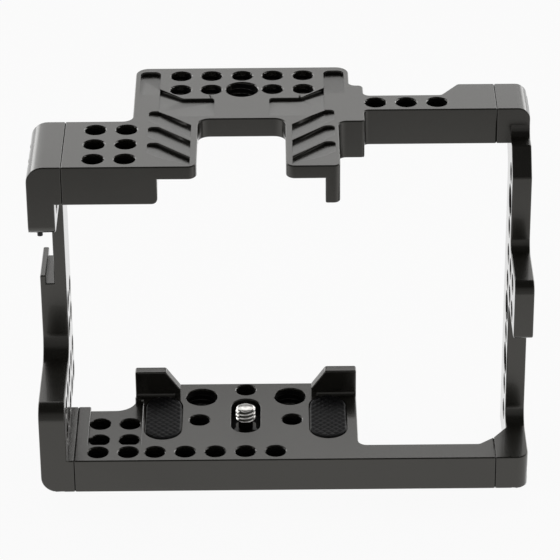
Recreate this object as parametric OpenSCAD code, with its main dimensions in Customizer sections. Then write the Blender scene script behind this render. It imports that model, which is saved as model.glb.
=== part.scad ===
// Camera cage: a four-piece milled aluminium frame round a camera, with a captive
// quarter-inch camera screw in a slot of its base plate.
// +X is right and +Y is towards the lens, as the camera's user sees them, and +Z is up.
// The origin is the middle of the cage's footprint, on the surface that it stands on.
// Sizes below are measured from three datums: the camera screw's line (x), the rear
// row of holes in the base plate (y) and the camera seat on top of the base plate (z).

/* [Frame] */
// From the screw's line to the outer face of the left arm
left_reach = 60.9; // [59:0.1:70]
// From the screw's line to the outer face of the right arm
right_reach = 84; // [80:0.1:96]
// From the camera seat up to the top face
top_height = 98.4; // [96:0.1:112]
// From the rear row of holes back to the rear faces
rear_edge = 4.8; // [4.4:0.1:7]
// Radius along the outer edges of the left arm
outer_r = 5.3; // [3:0.1:6]
// Radius along the right arm's top edge and up its foot
right_edge_r = 3.6; // [2:0.1:5]
// Radius under the right arm's foot
right_low_r = 0.9; // [0.4:0.1:2]
// Left arm's wall
left_wall = 7.8; // [7.2:0.1:10]
// Right arm's wall
right_wall = 5.7; // [5:0.1:8]
// From the left outer face in to the two seams on that side
left_seam_in = 10; // [9.6:0.1:12]
// From the right outer face in to the two seams on that side
right_seam_in = 9.7; // [9.2:0.1:12]

/* [Base plate] */
// Thickness of the base plate
base_t = 11; // [10.4:0.1:14]
// Front edge of the plate's middle part
base_front = 38.3; // [38:0.1:44]
// Half the width of the middle part
base_half_w = 33.7; // [32.5:0.1:36]
// Front edge of the narrow left end
tongue_front = 25.7; // [24.6:0.1:29]
// Depth of the rail behind the battery door, rear face to front face
rail_w = 7.9; // [7.4:0.1:9]
// How far the rail widens in front, on its way to the right arm
rail_flare = 8.9; // [6:0.1:11]
// Depth of the shallow pocket in the left end
pocket_depth = 1.5; // [0.5:0.1:3]
// Rear edge of the shallow pocket
pocket_rear = 4.3; // [3.8:0.1:5]
// From the pocket's front end to the left stop
pocket_stop_gap = 1.2; // [0.9:0.1:2]
// Land between the pocket and the left edge of the middle part
pocket_land = 2.3; // [1.5:0.1:2.8]
// Radius of the inside corner at the left end
tongue_fillet = 6; // [1:0.1:7]
// Radius of the inside corner at the rail
rail_fillet = 2.6; // [1:0.1:6]

/* [Camera stops] */
// Rear face of the two stops at the front edge, which the camera butts against
stop_rear = 31.2; // [30.8:0.1:34]
// Thickness of a stop
stop_t = 3.3; // [2.5:0.1:3.8]
// Height of a stop above the camera seat
stop_h = 8.5; // [6:0.1:12]
// Width of a stop along its top
stop_top_w = 9.4; // [7:0.1:11]
// Width of a stop at its foot
stop_foot_w = 13.7; // [12.2:0.1:14.4]
// Height of a stop's straight foot
stop_foot_h = 2.4; // [1:0.1:4]

/* [Threaded holes] */
// Spacing of the hole grids
pitch = 9; // [8.4:0.1:9.4]
// Radius of a quarter-inch threaded hole
quarter_r = 3; // [2.6:0.05:3.2]
// Radius of a three-eighths threaded hole
three_eighths_r = 4.7; // [4.2:0.05:4.9]
// Chamfer at the mouths of the holes
mouth = 0.3; // [0.1:0.05:0.4]
// From the screw's line to each three-eighths hole beside it
wide_hole_x = 13.5; // [13.2:0.1:14]
// Row of the two three-eighths holes in the base plate
wide_hole_y = 30.5; // [30:0.1:32]
// Row of the two quarter-inch holes beside the slot
side_hole_y = 17.5; // [15:0.1:19]
// Row of the single hole in front of the slot
front_hole_y = 34.5; // [34.2:0.1:34.8]

/* [Rubber pads] */
// From the screw's line to the middle of each pad
pad_x = 24.9; // [24.4:0.1:25.4]
// Width of a pad
pad_w = 10.6; // [9:0.1:11]
// Length of a pad, with its round ends
pad_len = 23.2; // [18:0.1:23.6]
// Rear end of the pads
pad_rear = 7.2; // [6.8:0.1:8]
// How far a pad stands above the camera seat
pad_proud = 0.5; // [0.3:0.1:1]
// Depth of the recess that holds a pad
pad_recess = 1; // [0.6:0.1:1.6]
// Thickness of the adhesive sheet under a pad
sheet_t = 0.2; // [0.1:0.05:0.3]
// Gap round a pad in its recess
pad_gap = 0.2; // [0.1:0.05:0.3]

/* [Camera screw] */
// Radius of the quarter-inch thread
thread_r = 3.175; // [3.1:0.025:3.2]
// Top of the screw above the camera seat
thread_top = 6.3; // [5:0.1:7.5]
// Length of the thread
thread_len = 4.2; // [3.5:0.1:5]
// Radius of the screw's relieved neck
neck_r = 2.2; // [1.9:0.05:2.3]
// Radius of the screw's head
head_r = 7; // [5.5:0.1:7.2]
// Thickness of the screw's head
head_t = 1.6; // [1.2:0.1:1.7]
// Half the width of the slot at the camera seat
slot_r = 4.4; // [3.9:0.1:4.8]
// Depth of that wide part of the slot
slot_step = 3; // [2.2:0.1:3.2]
// Thickness of the web below it, in which the slot is narrower than the thread
slot_web = 3; // [2.6:0.1:3.2]
// Wall of the nylon bush that slides in the narrow part
bush_wall = 0.75; // [0.65:0.05:0.8]
// Thickness of the bush's flange, and of the lip that snaps over the web
flange_t = 0.7; // [0.5:0.05:0.8]
// Thickness of the washer on the screw's head
washer_t = 0.5; // [0.4:0.05:0.6]
// Rear end of the screw's travel
slot_rear = 14.8; // [14.4:0.1:15.2]
// Length of the screw's travel
screw_travel = 8.2; // [6:0.1:8.4]
// Radius of the wire of the folding ring
ring_wire_r = 0.75; // [0.6:0.05:0.8]

/* [Left arm] */
// Top of the left arm's foot
foot_top = 18.1; // [17.8:0.1:22]
// Rear face of the left arm's column
left_col_rear = 27.5; // [26.9:0.1:28]
// Front face of the left arm
left_front = 45.3; // [44.4:0.1:50]
// Top of the outer strip beside the clamp groove
strip_top = 45; // [40:0.1:50]
// Thickness of the outer strip
strip_t = 1.8; // [1.4:0.1:2.2]
// Width of the clamp groove
groove_w = 2.4; // [1.8:0.1:2.6]
// Depth of the clamp groove
groove_depth = 2.8; // [2:0.1:4]
// Underside of the corner block above the port opening
block_bottom = 76.6; // [76.2:0.1:77.8]
// Radius along the corner block's lower rear edge
block_edge_r = 2.8; // [0.6:0.1:3.2]
// Front face of the corner block
block_front = 23.9; // [23.2:0.1:26]
// Lower row of holes in the left arm, above the camera seat
left_low_row = 4; // [3.8:0.1:4.6]
// From the lower pair of rows up to the upper pair
left_row_step = 21; // [20:0.1:22]
// Radius of the cable clamp's set screw
clamp_screw_r = 0.8; // [0.7:0.05:1]
// Length of the set screw
clamp_screw_len = 8; // [6:0.1:9]
// How far the set screw stands out of the block
clamp_screw_out = 1.2; // [0.8:0.1:3]

/* [Right arm] */
// Rear face of the right arm's column
right_col_rear = 16.5; // [15.5:0.1:17]
// Front face of the right arm
right_front = 35; // [31:0.1:38]
// Underside of the rear lobe
lobe_bottom = 40.8; // [40:0.1:41.4]
// Top of the rear lobe
lobe_top = 59; // [58.6:0.1:60]
// Column of holes that runs up the arm
right_col_y = 22.5; // [22.2:0.1:23]
// Height of the shoulder under the top beam
shoulder = 90; // [88:0.1:91]

/* [Top plate] */
// Thickness of the left block
block_t = 12; // [11.4:0.1:13]
// Thickness of the bar to the right arm
bar_t = 11.4; // [10.6:0.1:12.4]
// Thickness of the middle deck
deck_t = 6; // [5.4:0.1:7]
// Thickness of the two flanges beside the hot-shoe notch
notch_flange_t = 4.1; // [3.6:0.1:5]
// Half the width of the hot-shoe notch
notch_half_w = 12.6; // [11.6:0.1:13]
// Front edge of the hot-shoe notch
notch_front = 24.8; // [24:0.1:26.5]
// Front edge of the top plate
top_front = 58.2; // [57:0.1:61]
// Half the width of the deck
deck_half_w = 31.5; // [31.1:0.1:33]
// From the screw's line to the rib and the block that flank the camera's hump
hump_half_w = 23.8; // [23.2:0.1:24.4]
// Right side of the rib
rib_right = 28; // [27.4:0.1:29]
// Right side of the step between the deck and the bar
bump_right = 35.6; // [34.8:0.1:36]
// Rear and front faces of that step
bump_rear = 22.6; // [21:0.1:24]
// Front face of the step
bump_front = 45.9; // [44:0.1:48]
// Rear face of the bar
bar_rear = 29.6; // [28.8:0.1:30.2]
// Depth of the bar, rear to front
bar_w = 9.6; // [9.2:0.1:11]
// Front face of the bar's wide end
bar_end_front = 46.2; // [44:0.1:50]
// Column of holes nearest the seam, from the left outer face
top_grid_in = 18.9; // [18.2:0.1:20]
// Rear row of the left block's holes
top_grid_rear = 0.4; // [0:0.1:1]
// Front row of the deck's holes
deck_row_y = 52.7; // [52:0.1:53.4]
// Depth of the two long scoops at their front wall
scoop_depth = 1.1; // [0.6:0.1:1.6]

/* [Joint fasteners] */
// Radius of a joint screw's shank
joint_r = 1.5; // [1.3:0.05:1.5]
// Radius of its cylindrical head
joint_head_r = 2.75; // [2.5:0.05:2.8]
// Height of that head
joint_head_t = 3; // [2.6:0.1:3.2]
// Depth of the counterbore
counterbore = 3.9; // [3.7:0.1:4.2]
// Shank length of the two pairs on the left
joint_len_left = 10; // [8:0.1:10.4]
// Shank length of those on the right
joint_len_right = 14; // [11:0.1:16]
// Radius of a dowel
dowel_r = 1; // [0.8:0.05:1.1]
// Length of a dowel
dowel_len = 6; // [4:0.1:6.4]
// Radial gap round shanks, dowels and heads
fastener_gap = 0.05; // [0.03:0.01:0.1]

/* [Hidden] */

$fn = 48;
arc_step = 10;
cut = 1;
side_gap = 0.1;
run_gap = 0.05;

// Planes of the frame
left_x = -left_reach;
right_x = right_reach;
left_seam = left_x + left_seam_in;
right_seam = right_x - right_seam_in;
left_inner = left_x + left_wall;
right_inner = right_x - right_wall;
rear_y = -rear_edge;
rail_front = rear_y + rail_w;
front_y = max(top_front, left_front, bar_end_front);
deck_bottom = top_height - deck_t;
block_under = top_height - block_t;
bar_under = top_height - bar_t;

// Hole positions
grid_x = [for (x = -(base_half_w + 1.3); x > left_seam + quarter_r + 2; x = x - pitch) x];
pocket_rows = [pitch, 2 * pitch];
rear_row = [for (i = [-3:1]) i * pitch];
top_grid_x = [for (i = [0:1]) left_x + top_grid_in + i * pitch];
top_grid_y = [for (i = [0:2]) top_grid_rear + i * pitch];
deck_columns = [for (i = [-2:2]) i * pitch];
bar_holes = [for (i = [0:2]) bump_right + quarter_r + 0.4 + i * pitch];
bar_mid = bar_rear + bar_w / 2;
right_rows = [for (i = [0:9]) i * pitch];
wide_rows = [2, 4, 8];
lobe_rows = [5, 6];
left_low_rows = [left_low_row, left_low_row + pitch];
left_high_rows = [for (z = left_low_rows) z + left_row_step];
left_columns = [for (i = [0:4]) pitch / 2 + i * pitch];
leg_hole = [left_columns[0], block_bottom + quarter_r + 2.8];

// Camera screw, from its tip down
thread_bottom = thread_top - thread_len;
bush_r = neck_r + run_gap + bush_wall;
web_r = bush_r + run_gap;
web_top = -slot_step;
web_bottom = web_top - slot_web;
lip_r = web_r + 0.5;
flange_r = head_r - 1.2;
bush_bottom = web_bottom - run_gap - flange_t;
washer_top = bush_bottom - run_gap;
head_top = washer_top - washer_t - run_gap;
head_bottom = head_top - head_t;
ring_z = head_bottom - run_gap - ring_wire_r;
ring_reach = head_r - ring_wire_r;
boss_w = 4;
boss_r = 1.7;
recess_gap = 0.6;
recess_r = head_r + recess_gap;
key_r = thread_r + run_gap;
screw_y = slot_rear;

// Joint fasteners: rows that miss the threaded holes
base_joint_z = -base_t / 2;
left_joint_y = [pitch / 2, 3 * pitch / 2];
right_joint_y = [rear_y + 5.5];
right_joint_z = -base_t / 2 - 1.5;
top_joint_z = top_height - deck_t;
top_left_joint_y = [for (y = left_joint_y) y + top_grid_rear];
top_right_joint_y = [bar_rear + 4.2, bar_end_front - 4.2];
left_dowel_y = [rear_y + 2.2, tongue_front - 2.6];
right_dowel_y = [rear_y + 2.2];
top_left_dowel_y = [rear_y + 2.2, block_front - 2];
top_right_dowel_y = [(bar_rear + bar_end_front) / 2];

// Moves the frame's datums so that the origin is the middle of the footprint.
module from_datum() {
    translate([-(left_x + right_x) / 2, -(rear_y + front_y) / 2, base_t]) children();
}

// An outline whose points are [x, y, radius]: each corner gets an arc of its radius,
// limited by the length of the two sides that meet there.
function unit(v) = v / norm(v);
function flat(p) = [p[0], p[1]];
function turn(a) = a > 180 ? a - 360 : a < -180 ? a + 360 : a;
function corner(a, b, c, r) =
    let (
        to_a = unit(a - b),
        to_c = unit(c - b),
        half = acos(max(-1, min(1, to_a * to_c))) / 2,
        room = 0.49 * min(norm(a - b), norm(c - b)),
        back = min(r / tan(half), room),
        fit_r = back * tan(half),
        mid = b + unit(to_a + to_c) * fit_r / sin(half),
        start = b + to_a * back - mid,
        end = b + to_c * back - mid,
        from = atan2(start[1], start[0]),
        sweep = turn(atan2(end[1], end[0]) - from),
        steps = max(2, ceil(abs(sweep) / arc_step))
    )
    [for (i = [0:steps]) mid + fit_r * [cos(from + sweep * i / steps), sin(from + sweep * i / steps)]];
function outline(points) = [
    for (i = [0:len(points) - 1])
        let (
            last = points[(i + len(points) - 1) % len(points)],
            here = points[i],
            next = points[(i + 1) % len(points)]
        )
        each (here[2] > 0 ? corner(flat(last), flat(here), flat(next), here[2]) : [flat(here)])
];

// A prism over an outline in the plan, side or front view.
module plan(points, low, high) {
    translate([0, 0, low]) linear_extrude(high - low) polygon(outline(points));
}
module side(points, left, right) {
    translate([left, 0, 0]) rotate([90, 0, 90]) linear_extrude(right - left) polygon(outline(points));
}
module front(points, rear, ahead) {
    translate([0, ahead, 0]) rotate([90, 0, 0]) linear_extrude(ahead - rear) polygon(outline(points));
}
function box_outline(x0, y0, x1, y1) = [[x0, y0, 0], [x1, y0, 0], [x1, y1, 0], [x0, y1, 0]];

// A through hole along z or x with a chamfer at both mouths.
module bore(r, length) {
    translate([0, 0, -cut]) cylinder(r = r, h = length + 2 * cut);
    for (end = [0, 1]) {
        translate([0, 0, end * length]) mirror([0, 0, end])
            translate([0, 0, -mouth]) cylinder(r1 = r + 2 * mouth, r2 = r, h = 2 * mouth);
    }
}
module bore_z(x, y, low, high, r) {
    translate([x, y, low]) bore(r, high - low);
}
module bore_x(y, z, left, right, r) {
    translate([left, y, z]) rotate([0, 90, 0]) bore(r, right - left);
}

// A slot with round ends along y, its end centres at rear and ahead.
module slot_z(x, rear, ahead, low, high, r) {
    translate([x, rear, low]) cylinder(r = r, h = high - low);
    translate([x, ahead, low]) cylinder(r = r, h = high - low);
    translate([x - r, rear, low]) cube([2 * r, ahead - rear, high - low]);
}

// Side direction: 1 runs from the left outer face to the right, -1 from the right one to the left.
module from_outside(x, dir, y, z) {
    translate([x, y, z]) rotate([0, dir * 90, 0]) children();
}

// Hole for a joint screw: counterbore, clearance through the arm and thread beyond the seam.
module joint_hole(x, dir, y, z, length) {
    from_outside(x, dir, y, z) {
        translate([0, 0, -cut]) cylinder(r = joint_head_r + 0.25, h = counterbore + cut);
        cylinder(r = joint_r + fastener_gap, h = counterbore + length + 0.5);
    }
}
module joint_screw(x, dir, y, z, length) {
    from_outside(x, dir, y, z) difference() {
        union() {
            translate([0, 0, counterbore - joint_head_t]) cylinder(r = joint_head_r, h = joint_head_t);
            translate([0, 0, counterbore - run_gap]) cylinder(r = joint_r, h = length + run_gap);
        }
        translate([0, 0, counterbore - joint_head_t - cut]) cylinder(r = 1.45, h = cut + 1.6, $fn = 6);
    }
}
module dowel(seam, y, z, gap) {
    translate([seam - dowel_len / 2 - gap, y, z]) rotate([0, 90, 0])
        cylinder(r = dowel_r + gap, h = dowel_len + 2 * gap);
}

// ---- Base plate ----
module base_outline_solid() {
    plan([
        [left_seam, rear_y, 0],
        [right_seam, rear_y, 0],
        [right_seam, rail_front + rail_flare * 0.4, 0],
        [right_seam - rail_flare * 0.5, rail_front, 2],
        [base_half_w, rail_front, rail_fillet],
        [base_half_w, base_front, 1],
        [-base_half_w, base_front, 1],
        [-base_half_w, tongue_front, tongue_fillet],
        [left_seam, tongue_front, 0]
    ], -base_t, 0);
}
// A stop: straight foot, sloping inner side, radius where its rear face meets the seat.
module stop(side_sign) {
    outer = side_sign * base_half_w;
    front([
        [outer, -cut, 0],
        [outer, stop_h, 0.6],
        [outer - side_sign * stop_top_w, stop_h, 1],
        [outer - side_sign * stop_foot_w, stop_foot_h, 0.6],
        [outer - side_sign * stop_foot_w, -cut, 0]
    ], stop_rear, stop_rear + stop_t);
    inner = min(outer, outer - side_sign * (stop_foot_w - 1.5));
    translate([inner, stop_rear, 0]) stop_fillet(stop_foot_w - 1.5);
}
module stop_fillet(length) {
    r = min(1.2, stop_foot_h);
    difference() {
        translate([0, -r, -cut]) cube([length, r + cut, r + cut]);
        translate([-cut, -r, r]) rotate([0, 90, 0]) cylinder(r = r, h = length + 2 * cut);
    }
}
module pad_solid(x, low, high, grow) {
    r = pad_w / 2 + grow;
    rear = pad_rear + pad_w / 2;
    slot_z(x, rear, rear + pad_len - pad_w, low, high, r);
}
// Stepped slot for the camera screw, with the keyhole through which its thread goes in.
module screw_slot() {
    ahead = screw_y + screw_travel;
    slot_z(0, slot_rear, ahead + 1.8, web_top, cut, slot_r);
    slot_z(0, slot_rear, ahead, web_bottom - cut, web_top + cut, web_r);
    translate([0, ahead, web_bottom - cut]) cylinder(r = key_r, h = slot_web + 2 * cut);
    slot_z(0, slot_rear, ahead, -base_t - cut, web_bottom, recess_r);
}
module base_plate() {
    color("#3a3835") from_datum() difference() {
        union() {
            base_outline_solid();
            stop(-1);
            stop(1);
        }
        plan([
            [left_seam + 3.8, pocket_rear, 0],
            [-(base_half_w - pocket_land), pocket_rear, 0],
            [-(base_half_w - pocket_land), stop_rear - pocket_stop_gap, 1.5],
            [-(base_half_w + cut), stop_rear - pocket_stop_gap, 0],
            [-(base_half_w + cut), tongue_front + tongue_fillet, 0],
            [left_seam + 3.8, tongue_front + tongue_fillet, 0]
        ], -pocket_depth, cut);
        for (x = grid_x) {
            bore_z(x, 0, -base_t, 0, quarter_r);
            for (y = pocket_rows) {
                bore_z(x, y, -base_t, -pocket_depth, quarter_r);
            }
        }
        for (x = rear_row) {
            bore_z(x, 0, -base_t, 0, quarter_r);
        }
        for (s = [-1, 1]) {
            bore_z(s * wide_hole_x, wide_hole_y, -base_t, 0, three_eighths_r);
            bore_z(s * (wide_hole_x + 0.5), side_hole_y, -base_t, 0, quarter_r);
            pad_solid(s * pad_x, -pad_recess, cut, pad_gap);
        }
        bore_z(0, front_hole_y, -base_t, 0, quarter_r);
        screw_slot();
        for (y = left_joint_y) {
            joint_hole(left_x, 1, y, base_joint_z, joint_len_left);
        }
        for (y = right_joint_y) {
            joint_hole(right_x, -1, y, right_joint_z, joint_len_right);
        }
        for (y = left_dowel_y) {
            dowel(left_seam, y, base_joint_z, fastener_gap);
        }
        for (y = right_dowel_y) {
            dowel(right_seam, y, base_joint_z, fastener_gap);
        }
    }
}

// ---- Left arm ----
// The outer edges of either arm seen from the rear, rounded at top and bottom.
module arm_envelope(outer, inner, top_r, low_r) {
    front([
        [outer, -base_t, low_r],
        [inner, -base_t, 0],
        [inner, top_height, 0],
        [outer, top_height, top_r]
    ], rear_y - cut, front_y + cut);
}
module left_arm_solid() {
    slab = left_x + strip_t + groove_w;
    side([
        [rear_y, -base_t, 0.6],
        [tongue_front, -base_t, 0],
        [tongue_front, 0, 1.5],
        [left_front, 0, 4],
        [left_front, strip_top, 0],
        [left_col_rear, strip_top, 0],
        [left_col_rear, foot_top, 7],
        [rear_y, foot_top, 5]
    ], left_x, left_inner);
    side([
        [left_front, strip_top - groove_depth - cut, 0],
        [left_front, block_bottom - 3, 5],
        [block_front, block_under + 3, 3],
        [block_front, top_height, 0],
        [rear_y, top_height, 0],
        [rear_y, block_bottom, block_edge_r],
        [left_col_rear, block_bottom, 9],
        [left_col_rear, strip_top - groove_depth - cut, 0]
    ], slab, left_inner);
    intersection() {
        side([
            [rear_y, block_bottom, block_edge_r],
            [block_front, block_bottom, 0],
            [block_front, top_height, 0],
            [rear_y, top_height, 0]
        ], left_x, slab);
        front([
            [left_x, block_bottom, 1],
            [slab, block_bottom, 0],
            [slab, top_height, 0],
            [left_x, top_height, 0]
        ], rear_y, block_front);
    }
    side(box_outline(rear_y, block_under, block_front, top_height), slab, left_seam);
    side(box_outline(rear_y, -base_t, tongue_front, 0), left_inner - cut, left_seam);
}
module left_arm() {
    slab = left_x + strip_t + groove_w;
    color("#3a3835") from_datum() difference() {
        intersection() {
            left_arm_solid();
            arm_envelope(left_x, left_seam, outer_r, outer_r);
        }
        side(
            box_outline(left_col_rear - cut, strip_top - groove_depth, left_front + cut, strip_top + cut),
            left_x + strip_t, slab
        );
        for (z = left_low_rows) {
            for (y = left_columns) {
                bore_x(y, z, left_x, left_inner, quarter_r);
            }
        }
        for (z = left_high_rows) {
            for (i = [3, 4]) {
                bore_x(left_columns[i], z, left_x, left_inner, quarter_r);
            }
        }
        bore_x(leg_hole[0], leg_hole[1], left_x, left_inner, quarter_r);
        clamp_screw_at() translate([0, 0, -cut])
            cylinder(r = clamp_screw_r + run_gap, h = clamp_screw_len + clamp_screw_out + cut);
        for (y = left_joint_y) {
            joint_hole(left_x, 1, y, base_joint_z, joint_len_left);
        }
        for (y = top_left_joint_y) {
            joint_hole(left_x, 1, y, top_joint_z, joint_len_left);
        }
        for (y = left_dowel_y) {
            dowel(left_seam, y, base_joint_z, fastener_gap);
        }
        for (y = top_left_dowel_y) {
            dowel(left_seam, y, top_joint_z, fastener_gap);
        }
    }
}
// Foot of the set screw's hole, under the corner block.
module clamp_screw_at() {
    translate([left_x + 3.2, rear_y + 2.7, block_bottom]) children();
}
module clamp_set_screw() {
    color("#1d1c1a") from_datum() clamp_screw_at() translate([0, 0, -clamp_screw_out])
        cylinder(r = clamp_screw_r, h = clamp_screw_len);
}

// ---- Right arm ----
module right_arm_solid() {
    side([
        [rear_y, -base_t, 0.6],
        [right_front, -base_t, 0.6],
        [right_front, bar_under - 9, 4],
        [bar_end_front, bar_under, 2],
        [bar_end_front, top_height, 0],
        [bar_rear, top_height, 0],
        [bar_rear, shoulder, 3.2],
        [right_col_rear + 6.1, shoulder, 0.8],
        [right_col_rear, shoulder - 7.6, 1],
        [right_col_rear, lobe_top, 3.6],
        [rear_y, lobe_top, 3.4],
        [rear_y, lobe_bottom, 1.3],
        [right_col_rear, lobe_bottom, 2.5],
        [right_col_rear, 0, 5],
        [rear_y, 0, 0]
    ], right_inner, right_x);
    side(box_outline(bar_rear, bar_under, bar_end_front, top_height), right_seam, right_inner + cut);
    plan([
        [right_seam, rear_y, 0],
        [right_inner + cut, rear_y, 0],
        [right_inner + cut, rail_front + rail_flare, 0],
        [right_inner, rail_front + rail_flare, 0],
        [right_seam, rail_front + rail_flare * 0.4, 0]
    ], -base_t, 0);
}
module right_arm() {
    color("#3a3835") from_datum() difference() {
        intersection() {
            right_arm_solid();
            arm_envelope(right_x, right_seam, right_edge_r, right_low_r);
        }
        foot_edge_round();
        for (i = [0:len(right_rows) - 1]) {
            wide = len([for (w = wide_rows) if (w == i) w]) > 0;
            bore_x(right_col_y, right_rows[i], right_inner, right_x, wide ? three_eighths_r : quarter_r);
        }
        for (i = lobe_rows) {
            for (k = [1, 2]) {
                bore_x(right_col_y - k * pitch, right_rows[i], right_inner, right_x, quarter_r);
            }
        }
        for (y = right_joint_y) {
            joint_hole(right_x, -1, y, right_joint_z, joint_len_right);
        }
        for (y = top_right_joint_y) {
            joint_hole(right_x, -1, y, top_joint_z, joint_len_right);
        }
        for (y = right_dowel_y) {
            dowel(right_seam, y, base_joint_z, fastener_gap);
        }
        for (y = top_right_dowel_y) {
            dowel(right_seam, y, top_joint_z, fastener_gap);
        }
    }
}
// The foot's upright rear edge is rounded; the lobe's is not.
module foot_edge_round() {
    difference() {
        translate([right_x - right_edge_r, rear_y - cut, -base_t - cut])
            cube([right_edge_r + cut, right_edge_r + cut, base_t + cut + 0.01]);
        translate([right_x - right_edge_r, rear_y + right_edge_r, -base_t - 2 * cut])
            cylinder(r = right_edge_r, h = base_t + 4 * cut);
    }
}

// ---- Top plate ----
module top_plan() {
    plan([
        [left_seam, rear_y, 0],
        [-notch_half_w, rear_y, 2.6],
        [-notch_half_w, notch_front, 3.4],
        [notch_half_w, notch_front, 3.4],
        [notch_half_w, rear_y, 2.6],
        [rib_right, rear_y, 1.8],
        [rib_right, bump_rear, 2.4],
        [bump_right, bump_rear, 1],
        [bump_right, bar_rear, 1.4],
        [right_seam, bar_rear, 0],
        [right_seam, bar_end_front, 0],
        [right_seam - 10.8, bar_end_front, 1.5],
        [right_seam - 15.9, bar_rear + bar_w, 1.5],
        [bump_right, bar_rear + bar_w, 2],
        [bump_right, bump_front, 1.5],
        [deck_half_w, bump_front, 2],
        [deck_half_w, top_front, 3.8],
        [-deck_half_w, top_front, 3.8],
        [-deck_half_w, block_front, 3],
        [left_seam, block_front, 0]
    ], block_under - cut, top_height);
}
module top_section() {
    front([
        [left_seam - cut, block_under, 0],
        [-hump_half_w, block_under, 1.7],
        [-hump_half_w, deck_bottom, 0.6],
        [hump_half_w, deck_bottom, 0.6],
        [hump_half_w, block_under, 0.5],
        [bump_right, block_under, 0.8],
        [bump_right, bar_under, 0],
        [right_seam + cut, bar_under, 0],
        [right_seam + cut, top_height + cut, 0],
        [left_seam - cut, top_height + cut, 0]
    ], rear_y - cut, front_y + cut);
}
// A scoop is a ramp that falls from the top face towards a wall; its footprint bounds it,
// so that the footprint's side is the wall, and the ramp itself goes on behind that.
module ramp(x, y, angle, length, depth, run) {
    behind = 0.5;
    rise = -run - behind * cos(angle);
    translate([x, y + behind, top_height]) rotate([0, 0, angle]) translate([-length, 0, 0])
        rotate([90, 0, 90]) linear_extrude(2 * length)
            polygon([[cut, cut], [cut, -depth], [0, -depth], [rise, 0], [rise, cut]]);
}
module lifted_plan(points) {
    plan(points, top_height - 2 * scoop_depth, top_height + cut / 2);
}
module scoops(s) {
    slot_out = deck_half_w - 1.4;
    slot_in = slot_out - 6;
    slot_end = top_front - 2.5;
    step_x = 17.2;
    step_y = notch_front + 13.2;
    bend_y = step_y + 6.3;
    in_x = 8;
    mirror([s, 0, 0]) {
        intersection() {
            lifted_plan([
                [slot_in, slot_end - 19, 0],
                [slot_out, slot_end - 19, 0],
                [slot_out, slot_end, 2],
                [slot_in, slot_end, 2]
            ]);
            ramp(slot_in, slot_end, 0, 20, scoop_depth, 15);
        }
        intersection() {
            lifted_plan([
                [in_x, step_y - 12, 0],
                [slot_in, step_y - 12, 0],
                [slot_in, bend_y, 0],
                [step_x, step_y, 1.5],
                [in_x, step_y, 1.2]
            ]);
            ramp(in_x, bend_y, 0, 30, scoop_depth + 0.2, 17.8);
        }
        for (i = [0:2]) {
            groove(14.5, 24, 26.9, notch_front + 5.2 - i * 9.9);
        }
    }
}
module groove(inner, bend, outer, y) {
    drop = 9;
    angle = atan2(drop, bend - inner);
    run = 6.5;
    fade = y - drop - run / cos(angle);
    intersection() {
        lifted_plan([
            [inner, y - drop, 0.4],
            [inner, max(fade - 0.5, rear_y + 0.9), 0],
            [outer, y - 7.5, 0],
            [outer, y, 2],
            [bend, y, 1.5]
        ]);
        ramp(bend, y, angle, 20, scoop_depth, run);
    }
}
module top_plate() {
    color("#45433f") from_datum() difference() {
        intersection() {
            top_plan();
            top_section();
        }
        translate([-hump_half_w, rear_y - cut, deck_bottom - cut])
            cube([2 * hump_half_w, notch_front - 4.8 - rear_y + cut, deck_t - notch_flange_t + cut]);
        for (x = top_grid_x) {
            for (y = top_grid_y) {
                bore_z(x, y, block_under, top_height, quarter_r);
            }
        }
        for (x = deck_columns) {
            bore_z(x, deck_row_y, deck_bottom, top_height, quarter_r);
            bore_z(x, deck_row_y - pitch, deck_bottom, top_height, x == 0 ? three_eighths_r : quarter_r);
        }
        for (x = bar_holes) {
            bore_z(x, bar_mid, bar_under, top_height, quarter_r);
        }
        scoops(0);
        scoops(1);
        for (y = top_left_joint_y) {
            joint_hole(left_x, 1, y, top_joint_z, joint_len_left);
        }
        for (y = top_right_joint_y) {
            joint_hole(right_x, -1, y, top_joint_z, joint_len_right);
        }
        for (y = top_left_dowel_y) {
            dowel(left_seam, y, top_joint_z, fastener_gap);
        }
        for (y = top_right_dowel_y) {
            dowel(right_seam, y, top_joint_z, fastener_gap);
        }
    }
}

// ---- Rubber pads ----
module pad(x) {
    color("#1b1b1c") from_datum() pad_solid(x, -pad_recess + sheet_t, pad_proud, 0);
}
module pad_adhesive(x) {
    color("#c9c5b8") from_datum() pad_solid(x, -pad_recess, -pad_recess + sheet_t, -0.3);
}
module left_pad() {
    pad(-pad_x);
}
module right_pad() {
    pad(pad_x);
}
module left_pad_adhesive() {
    pad_adhesive(-pad_x);
}
module right_pad_adhesive() {
    pad_adhesive(pad_x);
}

// ---- Captive camera screw ----
// Split nylon bush: its sleeve slides in the narrow part of the slot, between lip and flange.
module slot_bush() {
    slit = 0.8;
    color("#26241f") from_datum() translate([0, screw_y, 0]) difference() {
        union() {
            translate([0, 0, web_bottom - run_gap]) cylinder(r = bush_r, h = slot_web + 2 * run_gap);
            translate([0, 0, web_top + run_gap]) cylinder(r = lip_r, h = flange_t);
            translate([0, 0, bush_bottom]) cylinder(r = flange_r, h = flange_t);
        }
        translate([0, 0, bush_bottom - cut])
            cylinder(r = neck_r + run_gap, h = slot_web + 2 * flange_t + 2 * cut + 2 * run_gap);
        translate([0, -slit / 2, bush_bottom - cut]) cube([flange_r + cut, slit, slot_web + 2 * flange_t + 3 * cut]);
    }
}
module screw_washer() {
    color("#b9b7b0") from_datum() translate([0, screw_y, washer_top - washer_t]) difference() {
        cylinder(r = head_r - 0.6, h = washer_t);
        translate([0, 0, -cut]) cylinder(r = neck_r + run_gap, h = washer_t + 2 * cut);
    }
}
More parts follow.
